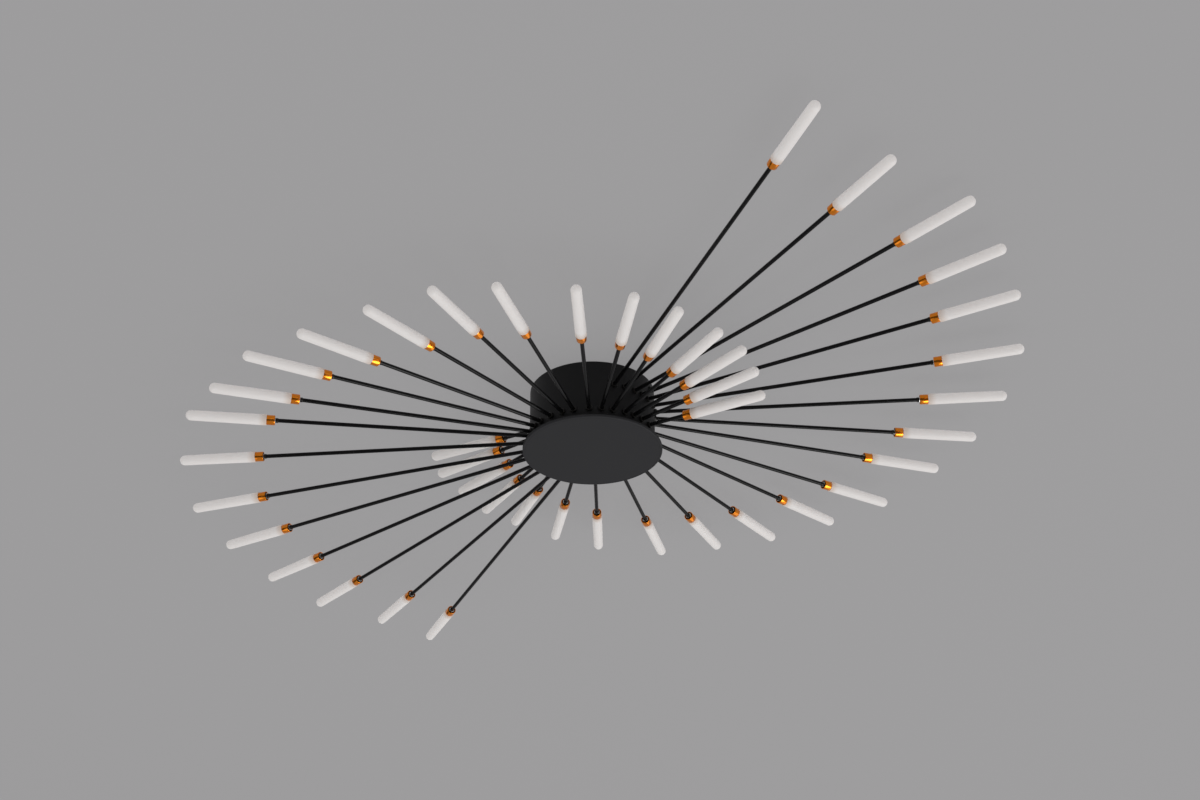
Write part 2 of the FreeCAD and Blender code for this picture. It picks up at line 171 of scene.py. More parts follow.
# Terminal block, with a brass clamp and a clamp screw at each pole. The places of its poles and
# ribs count pitches from its middle.
TERMINAL_PLACE = 26.0
TERMINAL_WIDTH = 16.0
TERMINAL_HEIGHT = 14.0
TERMINAL_PITCH = 8.0
TERMINAL_POLES = (-1, 0, 1)
TERMINAL_EDGE = 0.6
WIRE_HOLE_RADIUS = 1.8
SCREW_WELL_RADIUS = 1.7
SCREW_WELL_DEPTH = 5.0
CLAMP_INSET = 1.0
CLAMP_BORE_RADIUS = 1.26
CLAMP_SCREW_RADIUS = 1.19
CLAMP_SCREW_LENGTH = 1.0
CLAMP_SCREW_HEAD_RADIUS = 1.53
CLAMP_SCREW_HEAD_HEIGHT = 1.0
RIB_PLACES = (-0.5, 0.5)
RIB_GROOVE_WIDTH = 1.0
RIB_GROOVE_DEPTH = 1.2

# Driver
DRIVER_LENGTH = 88.0
DRIVER_WIDTH = 40.0
DRIVER_HEIGHT = 25.0
DRIVER_EDGE = 1.8
DRIVER_SEAM_SHARE = 0.62
DRIVER_SEAM = 0.5
LUG_LENGTH = 9.0
LUG_WIDTH = 16.0
LUG_THICKNESS = 3.0
LUG_EDGE = 0.5
LUG_PLACE = (DRIVER_LENGTH + LUG_LENGTH) / 2
LEAD_HOLE_RADIUS = 2.6
LEAD_HOLE_DEPTH = 3.0
LEAD_HOLE_HEIGHT = 15.0
LEAD_HOLE_PLACES = (-8.0, 8.0)
DRIVER_SCREW_RADIUS = 1.5
DRIVER_SCREW_HEAD_RADIUS = 2.8
DRIVER_SCREW_HEAD_HEIGHT = 1.8

# How far a cutter runs past what it cuts, how close corners are merged into one, and the edge angle
# past which shading is not smooth
OVERRUN = 1.0
MERGE_DISTANCE = 0.001
SHARP_ANGLE = 35.0
HOLE_SIDES = 32


def linear(colour):
    """An sRGB hex colour as linear red, green, blue and alpha."""
    shares = [int(colour[start:start + 2], 16) / 255 for start in (1, 3, 5)]
    bent = [
        share / 12.92 if share <= 0.04045 else ((share + 0.055) / 1.055) ** 2.4 for share in shares
    ]
    return (*bent, 1.0)


def add(tree, kind, inputs=None, **options):
    """Adds a node. An input given a socket is linked to it, and one given a value is set to it."""
    node = tree.nodes.new(kind)
    for option, value in options.items():
        setattr(node, option, value)
    for key, value in (inputs or {}).items():
        if isinstance(value, bpy.types.NodeSocket):
            tree.links.new(value, node.inputs[key])
        else:
            node.inputs[key].default_value = value
    return node


def new_finish(name, values):
    """A new material whose shader has these values all over it; returns its tree and shader too."""
    material = bpy.data.materials.new(name)
    material.use_nodes = True
    shader = material.node_tree.nodes["Principled BSDF"]
    for socket, value in values.items():
        shader.inputs[socket].default_value = value
    return material, material.node_tree, shader


def object_place(tree):
    """A place in the object's own frame."""
    return add(tree, "ShaderNodeTexCoord").outputs["Object"]


def lamp_place(tree):
    """A place in a lamp piece's own mesh, a metre further on at each lamp, so that no two match."""
    place = add(tree, "ShaderNodeAttribute", attribute_name="own_place").outputs["Vector"]
    number = add(tree, "ShaderNodeAttribute", attribute_name="lamp_number").outputs["Fac"]
    apart = add(tree, "ShaderNodeCombineXYZ", {"Y": number, "Z": number}).outputs[0]
    return add(tree, "ShaderNodeVectorMath", {0: place, 1: apart}, operation="ADD").outputs[0]


def dress(tree, shader, place, grain, colours, roughness, relief, stretch=(1, 1, 1)):
    """Gives a surface its grain, in millimetres: two colours, a range of roughness and a relief."""
    spread = add(tree, "ShaderNodeMapping", {"Vector": place, "Scale": stretch}).outputs[0]
    noise = add(
        tree, "ShaderNodeTexNoise",
        {"Vector": spread, "Scale": 1 / (grain * MM), "Detail": 3.0, "Roughness": 0.55},
    ).outputs["Fac"]
    tint = add(
        tree, "ShaderNodeMix", {"Factor": noise, "A": linear(colours[0]), "B": linear(colours[1])},
        data_type="RGBA",
    ).outputs["Result"]
    tree.links.new(tint, shader.inputs["Base Color"])
    sheen = add(
        tree, "ShaderNodeMapRange", {"Value": noise, "To Min": roughness[0], "To Max": roughness[1]}
    ).outputs[0]
    tree.links.new(sheen, shader.inputs["Roughness"])
    bump = add(tree, "ShaderNodeBump", {"Height": noise, "Distance": relief * MM}).outputs[0]
    tree.links.new(bump, shader.inputs["Normal"])
    return tint, bump


def grained_finish(name, values, place, **grain):
    """A finish that is its grain alone."""
    material, tree, shader = new_finish(name, values)
    dress(tree, shader, place(tree), **grain)
    return material


def satin_black_enamel():
    """Enamel baked on pressed steel: near black, with a soft sheen and a faint orange peel."""
    return grained_finish(
        "satin_black_enamel", {"Specular IOR Level": 0.2}, object_place, grain=2.2,
        colours=("#0F0F10", "#131314"), roughness=(0.42, 0.56), relief=0.02,
    )


def charcoal_powder_coat():
    """Polyester powder baked on steel: matte charcoal, with even grit drawn coarser than real."""
    return grained_finish(
        "charcoal_powder_coat", {"Specular IOR Level": 0.15}, object_place, grain=0.9,
        colours=("#252527", "#2B2B2D"), roughness=(0.58, 0.72), relief=0.03,
    )


def black_rod_lacquer():
    """Gloss lacquer on drawn steel: black, with a thin light line and faint draw marks along it."""
    return grained_finish(
        "black_rod_lacquer", {"Specular IOR Level": 0.18}, lamp_place, grain=1.5,
        colours=("#070707", "#0C0C0D"), roughness=(0.16, 0.24), relief=0.006, stretch=(0.04, 1, 1),
    )


def black_oxide_steel(place):
    """Oil-blackened steel: black with a slight gloss and browner patches where it is handled."""
    return grained_finish(
        "black_oxide_steel", {"Metallic": 0.5}, place, grain=1.8,
        colours=("#121110", "#1E1C1A"), roughness=(0.26, 0.42), relief=0.02,
    )


def polished_copper_plate():
    """Copper plated on turned brass under clear lacquer: deep orange and bright, with turning marks
    drawn wider than real, pale lights on the lacquer, and painted shade: a darker brown in the cup.
    """
    material, tree, shader = new_finish(
        "polished_copper_plate", {"Metallic": 0.94, "Coat Weight": 0.3, "Coat Roughness": 0.06}
    )
    place = lamp_place(tree)
    tint, bump = dress(
        tree, shader, place, grain=6.0, colours=("#FB8C16", "#FF9820"),
        roughness=(0.13, 0.2), relief=0.006,
    )
    along = add(tree, "ShaderNodeSeparateXYZ", {"Vector": place}).outputs["X"]
    turns = add(
        tree, "ShaderNodeMath", {0: along, 1: math.tau / (TURNING_MARK_PITCH * MM)},
        operation="MULTIPLY",
    ).outputs[0]
    wave = add(tree, "ShaderNodeMath", {0: turns}, operation="SINE").outputs[0]
    marks = add(
        tree, "ShaderNodeBump",
        {"Height": wave, "Strength": TURNING_MARK_STRENGTH, "Distance": TURNING_MARK_DEPTH * MM,
         "Normal": bump},
    ).outputs[0]
    tree.links.new(marks, shader.inputs["Normal"])
    # Painted shade: the cup and the spigot, inside a radius just past the cup's, take a darker
    # brown.
    own = add(tree, "ShaderNodeAttribute", attribute_name="own_place").outputs["Vector"]
    across = add(
        tree, "ShaderNodeVectorMath", {0: own, 1: (0, 1, 1)}, operation="MULTIPLY"
    ).outputs[0]
    radius = add(tree, "ShaderNodeVectorMath", {0: across}, operation="LENGTH").outputs["Value"]
    in_cup = add(
        tree, "ShaderNodeMath", {0: radius, 1: (CUP_RADIUS + CUP_EDGE) * MM}, operation="LESS_THAN"
    ).outputs[0]
    cup_painted_shade = add(
        tree, "ShaderNodeMix", {"Factor": in_cup, "A": tint, "B": linear("#9A5C2A")},
        data_type="RGBA",
    ).outputs["Result"]
    tree.links.new(cup_painted_shade, shader.inputs["Base Color"])
    return material


def frosted_acrylic():
    """Acid-frosted acrylic: milky, warm white, evenly bright, with painted shade over the cap's
    spigot.
    """
    material, tree, shader = new_finish(
        "frosted_acrylic",
        {"IOR": 1.49, "Specular IOR Level": 0.3, "Subsurface Weight": 0.2,
         "Subsurface Radius": (1.0, 0.92, 0.88), "Subsurface Scale": 1.6 * MM},
    )
    place = lamp_place(tree)
    tint, _ = dress(
        tree, shader, place, grain=2.4, colours=("#D4D0CE", "#D8D4D2"),
        roughness=(0.5, 0.6), relief=0.004, stretch=(0.15, 1, 1),
    )
    # Painted shade of the spigot seen through the wall: darker and browner at the mouth, fading
    # along the tube.
    along = add(tree, "ShaderNodeSeparateXYZ", {"Vector": place}).outputs["X"]
    past_spigot = add(
        tree, "ShaderNodeMapRange",
        {"Value": along, "From Min": 0.0, "From Max": MOUTH_SHADE_LENGTH * MM},
        interpolation_type="SMOOTHSTEP",
    ).outputs[0]
    spigot_painted_shade = add(
        tree, "ShaderNodeMix", {"Factor": past_spigot, "A": linear("#C4B6AC"), "B": tint},
        data_type="RGBA",
    ).outputs["Result"]
    tree.links.new(spigot_painted_shade, shader.inputs["Base Color"])
    return material


def bright_zinc():
    """Zinc plate with a clear passivate: pale blue-grey metal with cloudy, duller patches."""
    return grained_finish(
        "bright_zinc", {"Metallic": 1.0}, object_place, grain=5.0,
        colours=("#B4B8BC", "#CDCFD0"), roughness=(0.24, 0.42), relief=0.01,
    )


def nickelled_steel():
    """Nickel plate on small nuts: a silvery grey, a little warm, with a soft shine."""
    return grained_finish(
        "nickelled_steel", {"Metallic": 1.0}, lamp_place, grain=2.0,
        colours=("#E2DFDA", "#ECEAE6"), roughness=(0.16, 0.26), relief=0.01,
    )


def bare_brass():
    """Drawn brass clamps: yellow and dull, with lengthwise draw marks."""
    return grained_finish(
        "bare_brass", {"Metallic": 1.0}, object_place, grain=1.0,
        colours=("#C9A24E", "#D9B866"), roughness=(0.28, 0.42), relief=0.01, stretch=(0.1, 1, 1),
    )


def natural_nylon():
    """Moulded nylon: cream and a little translucent, with a satin mould texture."""
    return grained_finish(
        "natural_nylon", {"Subsurface Weight": 0.15, "Subsurface Scale": 1 * MM}, object_place,
        grain=1.2, colours=("#DCD6C4", "#E4DFD0"), roughness=(0.4, 0.52), relief=0.02,
    )


def white_driver_case():
    """Spark-textured polycarbonate: plain white with a fine, even pitting."""
    return grained_finish(
        "white_driver_case", {}, object_place, grain=0.7,
        colours=("#DDDDDB", "#E4E4E2"), roughness=(0.46, 0.58), relief=0.03,
    )


def white_solder_mask():
    """White solder mask on glass laminate: glossy, with the weave showing faintly through."""
    return grained_finish(
        "white_solder_mask", {}, lamp_place, grain=1.0,
        colours=("#DEDFDA", "#E9EAE6"), roughness=(0.25, 0.35), relief=0.01,
    )


def light_chip():
    """A light chip: a waxy yellow phosphor window in a white ceramic frame."""
    material, tree, shader = new_finish("light_chip", {})
    tint, _ = dress(
        tree, shader, lamp_place(tree), grain=0.5, colours=("#E3B63C", "#ECC552"),
        roughness=(0.35, 0.45), relief=0.01,
    )
    window = add(tree, "ShaderNodeAttribute", attribute_name="window").outputs["Fac"]
    framed = add(
        tree, "ShaderNodeMix", {"Factor": window, "A": linear("#E6E5E0"), "B": tint},
        data_type="RGBA",
    ).outputs["Result"]
    tree.links.new(framed, shader.inputs["Base Color"])
    return material


def smooth_but_sharp(mesh):
    mesh.shade_smooth()
    mesh.set_sharp_from_angle(angle=math.radians(SHARP_ANGLE))


def new_mesh(name, shell):
    """Closes a shell into a mesh, smooth but for its sharp edges, which keeps its own places."""
    bmesh.ops.remove_doubles(shell, verts=shell.verts, dist=MERGE_DISTANCE * MM)
    bmesh.ops.recalc_face_normals(shell, faces=shell.faces)
    mesh = bpy.data.meshes.new(name)
    shell.to_mesh(mesh)
    shell.free()
    smooth_but_sharp(mesh)
    flat = [part for vertex in mesh.vertices for part in vertex.co]
    mesh.attributes.new("own_place", "FLOAT_VECTOR", "POINT").data.foreach_set("vector", flat)
    return mesh


def turned(name, profile, sides, reshape=None):
    """A body turned about the X axis from (place, radius) points, whose rings may be reshaped."""
    shell = bmesh.new()
    rings = []
    for place, radius in profile:
        ring = []
        for k in range(sides if radius else 1):
            turn = math.tau * k / sides
            x, r = reshape(place, radius, turn) if reshape and radius else (place, radius)
            ring.append(shell.verts.new((x * MM, r * MM * math.cos(turn), r * MM * math.sin(turn))))
        rings.append(ring)
    for back, front in zip(rings, rings[1:]):
        for k in range(sides):
            after = k + 1
            corners = (back[k % len(back)], back[after % len(back)], front[after % len(front)])
            shell.faces.new(list(dict.fromkeys((*corners, front[k % len(front)]))))
    return new_mesh(name, shell)


def rounded(start, end, corner, steps=3):
    """Points of a quarter round from start to end, which takes the place of the corner."""
    points = []
    for k in range(steps + 1):
        turn = math.pi / 2 * k / steps
        points.append(tuple(
            c + (s - c) * (1 - math.sin(turn)) + (e - c) * (1 - math.cos(turn))
            for s, e, c in zip(start, end, corner)
        ))
    return points


def prism(name, outline, low, high, ease=0.0):
    """A block of this outline between two heights, with its edges eased by a small bevel."""
    shell = bmesh.new()
    rings = [[shell.verts.new((x * MM, y * MM, z * MM)) for x, y in outline] for z in (low, high)]
    for ring in rings:
        shell.faces.new(ring)
    for k in range(len(outline)):
        after = (k + 1) % len(outline)
        shell.faces.new((rings[0][k], rings[0][after], rings[1][after], rings[1][k]))
    if ease:
        sharp = [edge for edge in shell.edges if edge.calc_face_angle() > math.radians(SHARP_ANGLE)]
        bmesh.ops.bevel(
            shell, geom=sharp, offset=ease * MM, segments=2, profile=0.5, affect="EDGES"
        )
    return new_mesh(name, shell)


def rectangle(length, width, x=0.0, y=0.0):
    sides = ((-1, -1), (1, -1), (1, 1), (-1, 1))
    return [(x + a * length / 2, y + b * width / 2) for a, b in sides]


def round_outline(radius, x=0.0, y=0.0):
    turns = [math.tau * k / HOLE_SIDES for k in range(HOLE_SIDES)]
    return [(x + radius * math.cos(turn), y + radius * math.sin(turn)) for turn in turns]


def slot_outline(length, width, x):
    """An outline with round ends along X."""
    straight = (length - width) / 2
    return [(px + math.copysign(straight, px - x), py) for px, py in round_outline(width / 2, x)]


def peg(name, start, end, radius, sides=HOLE_SIDES):
    """A plain round bar along the X axis, as a rod or to cut a hole."""
    return turned(name, [(start, 0), (start, radius), (end, radius), (end, 0)], sides)


def thread(start, end, root):
    """Rings of a thread's root from its closed start on; a reshape by ridge() makes the thread."""
    count = math.ceil((end - start) / THREAD_PITCH * THREAD_RINGS)
    return [(start, 0)] + [(start + (end - start) * k / count, root) for k in range(count + 1)]


def ridge(root):
    """Lifts the rings of this radius into a ridge that winds on by a pitch each turn."""
    def reshape(place, radius, turn):
        if radius != root:
            return place, radius
        phase = (place / THREAD_PITCH - turn / math.tau) % 1
        return place, root + THREAD_DEPTH * (1 - abs(2 * phase - 1))
    return reshape


def frosted_tube():
    """The tube, tapered to its round end, with its bore and its wall's edge at the mouth."""
    base, end, bore = TUBE_BASE_RADIUS, TUBE_END_RADIUS, TUBE_BORE_RADIUS
    shoulder = TUBE_LENGTH - end
    bore_end = shoulder + bore
    inside = rounded((shoulder, bore), (bore_end, 0), (bore_end, bore), steps=5)
    profile = list(reversed(inside)) + [(0, bore)]
    profile += rounded((0, base - TUBE_EDGE), (TUBE_EDGE, base), (0, base))
    profile += rounded((shoulder, end), (TUBE_LENGTH, 0), (TUBE_LENGTH, end), steps=8)
    return turned("frosted_tube", profile, TURNED_SIDES)


def copper_cap():
    """The cap: a polished sleeve with a cup in its back and a spigot that plugs into the tube."""
    back, rim = -CAP_LENGTH, CAP_RADIUS
    floor = back + CUP_DEPTH
    profile = [(floor, 0), (floor, CUP_RADIUS)]
    profile += [(back + CUP_EDGE, CUP_RADIUS), (back, CUP_RADIUS + CUP_EDGE)]
    profile += rounded((back, rim - CAP_EDGE), (back + CAP_EDGE, rim), (back, rim))
    profile += rounded((-CAP_EDGE, rim), (0, rim - CAP_EDGE), (0, rim))
    profile += [(0, SPIGOT_RADIUS), (SPIGOT_LENGTH - CUP_EDGE, SPIGOT_RADIUS)]
    profile += [(SPIGOT_LENGTH, SPIGOT_RADIUS - CUP_EDGE), (SPIGOT_LENGTH, 0)]
    return turned("copper_cap", profile, TURNED_SIDES)


def hex_nut(name, start, height, across=NUT_ACROSS):
    """A hexagon nut along the X axis, its corners chamfered at both faces and its bore bevelled."""
    flat = across / 2
    chamfered = flat * NUT_CHAMFER_SHARE
    end = start + height
    mouth = NUT_BORE_RADIUS + NUT_BEVEL

    def hexagon(place, radius, turn):
        if radius != flat:
            return place, radius
        corner = flat / math.cos((turn + math.pi / 6) % (math.pi / 3) - math.pi / 6)
        sink = (corner - chamfered) * math.tan(math.radians(NUT_CHAMFER_ANGLE))
        return (place + sink if place == start else place - sink), corner

    bore_start = (start + NUT_BEVEL, NUT_BORE_RADIUS)
    profile = [bore_start, (start, mouth), (start, chamfered), (start, flat)]
    profile += [(end, flat), (end, chamfered), (end, mouth), (end - NUT_BEVEL, NUT_BORE_RADIUS)]
    profile.append(bore_start)
    return turned(name, profile, NUT_SIDES, hexagon)


def rod_bar():
    """A rod one metre long, which is cut to its lamp's length where it is placed."""
    return peg("rod_bar", 0, 1 / MM, ROD_RADIUS, ROD_SIDES)


def rod_stub():
    """The threaded root of a rod inside the drum."""
    root = ROD_RADIUS - THREAD_DEPTH
    profile = thread(-ROD_STUB_LENGTH, 0, root) + [(0, 0)]
    return turned("rod_stub", profile, THREAD_SIDES, ridge(root))


def rod_collar():
    """The black collar that locks the rod's end behind the cap's nut."""
    front, rim = -CAP_NUT_HEIGHT, COLLAR_RADIUS
    back = front - COLLAR_LENGTH
    profile = [(back, 0)]
    profile += rounded((back, rim - COLLAR_EDGE), (back + COLLAR_EDGE, rim), (back, rim))
    profile += [(front, rim), (front, 0)]
    return turned("rod_collar", profile, NUT_SIDES)


def light_board():
    """The board that starts at the spigot and carries the chips."""
    half = BOARD_THICKNESS / 2
    outline = rectangle(BOARD_LENGTH, BOARD_WIDTH, SPIGOT_LENGTH + BOARD_LENGTH / 2)
    return prism("light_board", outline, -half, half, BOARD_EDGE)


def light_chip_body():
    """A chip on the board's upper face, whose top face holds the window."""
    low = BOARD_THICKNESS / 2
    top = low + CHIP_HEIGHT
    shell = bmesh.new()
    rings = []
    for inset, height in ((0, low), (0, top), (CHIP_FRAME, top)):
        corners = rectangle(CHIP_LENGTH - inset - inset, CHIP_WIDTH - inset - inset)
        rings.append([shell.verts.new((x * MM, y * MM, height * MM)) for x, y in corners])
    shell.faces.new(rings[0])
    shell.faces.new(rings[2])
    for below, above in zip(rings, rings[1:]):
        for k in range(4):
            after = (k + 1) % 4
            shell.faces.new((below[k], below[after], above[after], above[k]))
    mesh = new_mesh("light_chip_body", shell)
    frame_middle = (CHIP_LENGTH - CHIP_FRAME) / 2 * MM
    window = [
        float(all(abs(mesh.vertices[corner].co.x) < frame_middle for corner in polygon.vertices))
        for polygon in mesh.polygons
    ]
    mesh.attributes.new("window", "FLOAT", "FACE").data.foreach_set("value", window)
    return mesh


def tree_with(name, inputs):
    """A new geometry tree with a geometry in and out and its named inputs."""
    tree = bpy.data.node_groups.new(name, "GeometryNodeTree")
    tree.interface.new_socket("Geometry", in_out="OUTPUT", socket_type="NodeSocketGeometry")
    for label, kind in (("Geometry", "Geometry"), *inputs):
        tree.interface.new_socket(label, in_out="INPUT", socket_type="NodeSocket" + kind)
    return tree, tree.nodes.new("NodeGroupInput").outputs


def finish_tree(tree, geometry, material):
    """Ends a tree with real, plain geometry in its material."""
    real = add(tree, "GeometryNodeRealizeInstances", {"Geometry": geometry}).outputs[0]
    done = add(tree, "GeometryNodeSetMaterial", {"Geometry": real, "Material": material}).outputs[0]
    add(tree, "NodeGroupOutput", {0: done})
    return tree


def lamp_fan():
    """Sets a piece at each lamp, turned to its bearing and out by a set way or the rod's reach."""
    tree, given = tree_with("lamp_fan", (
        ("Piece", "Object"), ("Material", "Material"), ("Fixed reach", "Float"),
        ("Share of lamp reach", "Float"), ("Stretch to lamp reach", "Bool"),
    ))
    bearing, reach = (
        add(tree, "GeometryNodeInputNamedAttribute", {"Name": name}).outputs["Attribute"]
        for name in ("bearing", "reach")
    )
    out = add(
        tree, "ShaderNodeMath",
        {0: reach, 1: given["Share of lamp reach"], 2: given["Fixed reach"]},
        operation="MULTIPLY_ADD",
    ).outputs[0]
    turn = add(tree, "ShaderNodeCombineXYZ", {"Z": bearing}).outputs[0]
    away = add(tree, "ShaderNodeCombineXYZ", {"X": out}).outputs[0]
    offset = add(
        tree, "ShaderNodeVectorRotate", {"Vector": away, "Rotation": turn},
        rotation_type="EULER_XYZ",
    ).outputs[0]
    spread = add(
        tree, "GeometryNodeSetPosition", {"Geometry": given["Geometry"], "Offset": offset}
    ).outputs[0]
    span = add(tree, "ShaderNodeMath", {0: reach, 1: out}, operation="SUBTRACT").outputs[0]
    length = add(
        tree, "GeometryNodeSwitch",
        {"Switch": given["Stretch to lamp reach"], "False": 1.0, "True": span},
        input_type="FLOAT",
    ).outputs[0]
    size = add(tree, "ShaderNodeCombineXYZ", {"X": length, "Y": 1.0, "Z": 1.0}).outputs[0]
    piece = add(tree, "GeometryNodeObjectInfo", {"Object": given["Piece"]}).outputs["Geometry"]
    fan = add(
        tree, "GeometryNodeInstanceOnPoints",
        {"Points": spread, "Instance": piece, "Rotation": turn, "Scale": size},
    ).outputs[0]
    number = add(tree, "GeometryNodeInputIndex").outputs[0]
    numbered = add(
        tree, "GeometryNodeStoreNamedAttribute",
        {"Geometry": fan, "Name": "lamp_number", "Value": number},
        domain="INSTANCE", data_type="FLOAT",
    ).outputs[0]
    return finish_tree(tree, numbered, given["Material"])


def chip_row():
    """A row of light chips along a board, on its upper and its lower face."""
    tree, given = tree_with("chip_row", (
        ("Piece", "Object"), ("Material", "Material"), ("Count", "Int"), ("Pitch", "Float"),
        ("First", "Float"),
    ))
    step = add(tree, "ShaderNodeCombineXYZ", {"X": given["Pitch"]}).outputs[0]
    start = add(tree, "ShaderNodeCombineXYZ", {"X": given["First"]}).outputs[0]
    line = add(
        tree, "GeometryNodeMeshLine",
        {"Count": given["Count"], "Start Location": start, "Offset": step},
    ).outputs[0]
    chip = add(tree, "GeometryNodeObjectInfo", {"Object": given["Piece"]}).outputs["Geometry"]
    row = add(tree, "GeometryNodeInstanceOnPoints", {"Points": line, "Instance": chip}).outputs[0]
    below = add(
        tree, "GeometryNodeTransform", {"Geometry": row, "Rotation": (math.pi, 0, 0)}
    ).outputs[0]
    both = add(tree, "GeometryNodeJoinGeometry", {0: row})
    tree.links.new(below, both.inputs[0])
    return finish_tree(tree, both.outputs[0], given["Material"])


def object_for(held, name=None):
    """An object in the scene that holds a mesh, a light or a camera."""
    made = bpy.data.objects.new(name or held.name, held)
    bpy.context.scene.collection.objects.link(made)
    return made


def settled(carrier):
    """Turns an object's modifiers into its plain mesh."""
    graph = bpy.context.evaluated_depsgraph_get()
    mesh = bpy.data.meshes.new_from_object(
        carrier.evaluated_get(graph), preserve_all_data_layers=True, depsgraph=graph
    )
    carrier.modifiers.clear()
    carrier.data = mesh
    return carrier


def grown(carrier, tree, values):
    """Runs a geometry tree on an object and leaves the result as its plain mesh."""
    modifier = carrier.modifiers.new(tree.name, "NODES")
    modifier.node_group = tree
    for socket in tree.interface.items_tree:
        if socket.in_out == "INPUT" and socket.name in values:
            modifier[socket.identifier] = values[socket.name]
    return settled(carrier)


def cut(mesh, cutters):
    """An object of this mesh with the cutters' meshes cut out of it."""
    target = object_for(mesh)
    tools = [object_for(cutter) for cutter in cutters]
    for tool in tools:
        modifier = target.modifiers.new("cut", "BOOLEAN")
        modifier.operation = "DIFFERENCE"
        modifier.solver = "EXACT"
        modifier.object = tool
    settled(target)
    for tool in tools:
        bpy.data.objects.remove(tool)
    smooth_but_sharp(target.data)
    return target


def mesh_alone(made):
    """The mesh of an object that is needed no more."""
    mesh = made.data
    bpy.data.objects.remove(made)
    return mesh


def joined(name, meshes):
    """One mesh of several, kept in their places."""
    shell = bmesh.new()
    for mesh in meshes:
        shell.from_mesh(mesh)
        bpy.data.meshes.remove(mesh)
    return new_mesh(name, shell)


def dressed(made, material, nodes=(), body=ROOT):
    """Gives a finished piece its material, its body and the solids that it stands for."""
    made.data.materials.clear()
    made.data.materials.append(material)
    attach(made, body)
    if nodes:
        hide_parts(*nodes)
    return made


def moved(mesh, x=0.0, y=0.0, z=0.0, turn=0.0, axis="Z"):
    """Turns a mesh by an angle about an axis and then moves it to a point."""
    mesh.transform(Matrix.Translation(Vector((x, y, z)) * MM) @ Matrix.Rotation(turn, 4, axis))
    return mesh


def upright(mesh, x=0.0, y=0.0, z=0.0):
    """Stands a mesh made along the X axis up along Z, at a point."""
    return moved(mesh, x, y, z, -math.pi / 2, "Y")


def hanging(mesh, x=0.0, y=0.0, z=0.0):
    """Hangs a mesh made along the X axis down along Z, at a point."""
    return moved(mesh, x, y, z, math.pi / 2, "Y")


def solids(tier, kind):
    """The names of a tier's solids of this kind, in the order of their numbers if they have any."""
    stem = tier + "_" + kind
    return sorted(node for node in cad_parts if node.rstrip("_0123456789") == stem)


def rod_facts(node):
    """A rod's bearing, and its height and reach in metres, from its solid's corners."""
    # A set, so that a corner that several triangles share counts once.
    corners = {tuple(round(part, 6) for part in v.co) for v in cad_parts[node].data.vertices}
    middle = sum((Vector(corner) for corner in corners), Vector()) / len(corners)
    bearing = math.atan2(middle.y, middle.x)
    reach = max(x * math.cos(bearing) + y * math.sin(bearing) for x, y, _ in corners)
    return bearing, middle.z, reach


ROD_FACTS = {tier: [rod_facts(node) for node in solids(tier, "rod")] for tier in TIERS}
LAMP_FAN = lamp_fan()


def lamp_points(tier):
    """A mesh with a point for each lamp of a tier, which holds its bearing and its rod's reach."""
    facts = ROD_FACTS[tier]
    mesh = bpy.data.meshes.new(tier + "_lamps")
    mesh.from_pydata([(0, 0, height) for _, height, _ in facts], [], [])
    for name, values in (("bearing", [f[0] for f in facts]), ("reach", [f[2] for f in facts])):
        mesh.attributes.new(name, "FLOAT", "POINT").data.foreach_set("value", values)
    return mesh


def fan_out(name, mesh, material, fixed=0.0, share=1.0, stretch=False, stands_for=None):
    """Sets a piece at every lamp. Each tier's pieces are one object, in place of its solids."""
    pattern = object_for(mesh)
    for tier in TIERS:
        carrier = object_for(lamp_points(tier), tier + "_" + name)
        grown(carrier, LAMP_FAN, {
            "Piece": pattern, "Material": material, "Fixed reach": fixed * MM,
            "Share of lamp reach": share, "Stretch to lamp reach": stretch,
        })
        dressed(carrier, material, solids(tier, stands_for) if stands_for else ())
    bpy.data.objects.remove(pattern)


def make_lamps(nickel):
    """The lamps. A rod's reach ends at its cap's web, and the tube's mouth is a little past it."""
    fan_out("tubes", frosted_tube(), frosted_acrylic(), WEB_PLACE,
            stands_for="diffusers")
    fan_out("caps", copper_cap(), polished_copper_plate(), WEB_PLACE,
            stands_for="lamp_caps")
    cap_nut = hex_nut("cap_nut", -CAP_NUT_HEIGHT, CAP_NUT_HEIGHT, CAP_NUT_ACROSS)
    fan_out("cap_nuts", cap_nut, nickel)
    fan_out("light_boards", light_board(), white_solder_mask(), WEB_PLACE,
            stands_for="led_boards")
    chip = object_for(light_chip_body())
    chips = object_for(bpy.data.meshes.new("chips"))
    finish = light_chip()
    grown(chips, chip_row(), {
        "Piece": chip, "Material": finish, "Count": CHIP_COUNT, "Pitch": CHIP_PITCH * MM,
        "First": (SPIGOT_LENGTH + CHIP_PITCH / 2) * MM,
    })
    fan_out("light_chips", mesh_alone(chips), finish, WEB_PLACE)
    bpy.data.objects.remove(chip)


def make_rods(nickel):
    """The rods from the drum's wall out, with their threaded roots, nuts and collars."""
    oxide = black_oxide_steel(lamp_place)
    fan_out("rods", rod_bar(), black_rod_lacquer(), DRUM_RADIUS, share=0.0,
            stretch=True, stands_for="rod")
    fan_out("rod_roots", rod_stub(), oxide, DRUM_RADIUS, share=0.0)
    fan_out("rod_collars", rod_collar(), oxide)
    outer_nut = hex_nut("outer_nut", SEAT_GAP, NUT_HEIGHT)
    fan_out("outer_nuts", outer_nut, oxide, DRUM_RADIUS, share=0.0,
            stands_for="rod_nuts")
    inner_nut = hex_nut("inner_nut", -NUT_HEIGHT, NUT_HEIGHT)
    # An inner nut's flat face meets the drum's hollow wall at the nut's sides.
    seat = math.sqrt(DRUM_INNER_RADIUS ** 2 - (NUT_ACROSS / 2) ** 2) - SEAT_GAP
    fan_out("inner_nuts", inner_nut, nickel, seat, share=0.0)


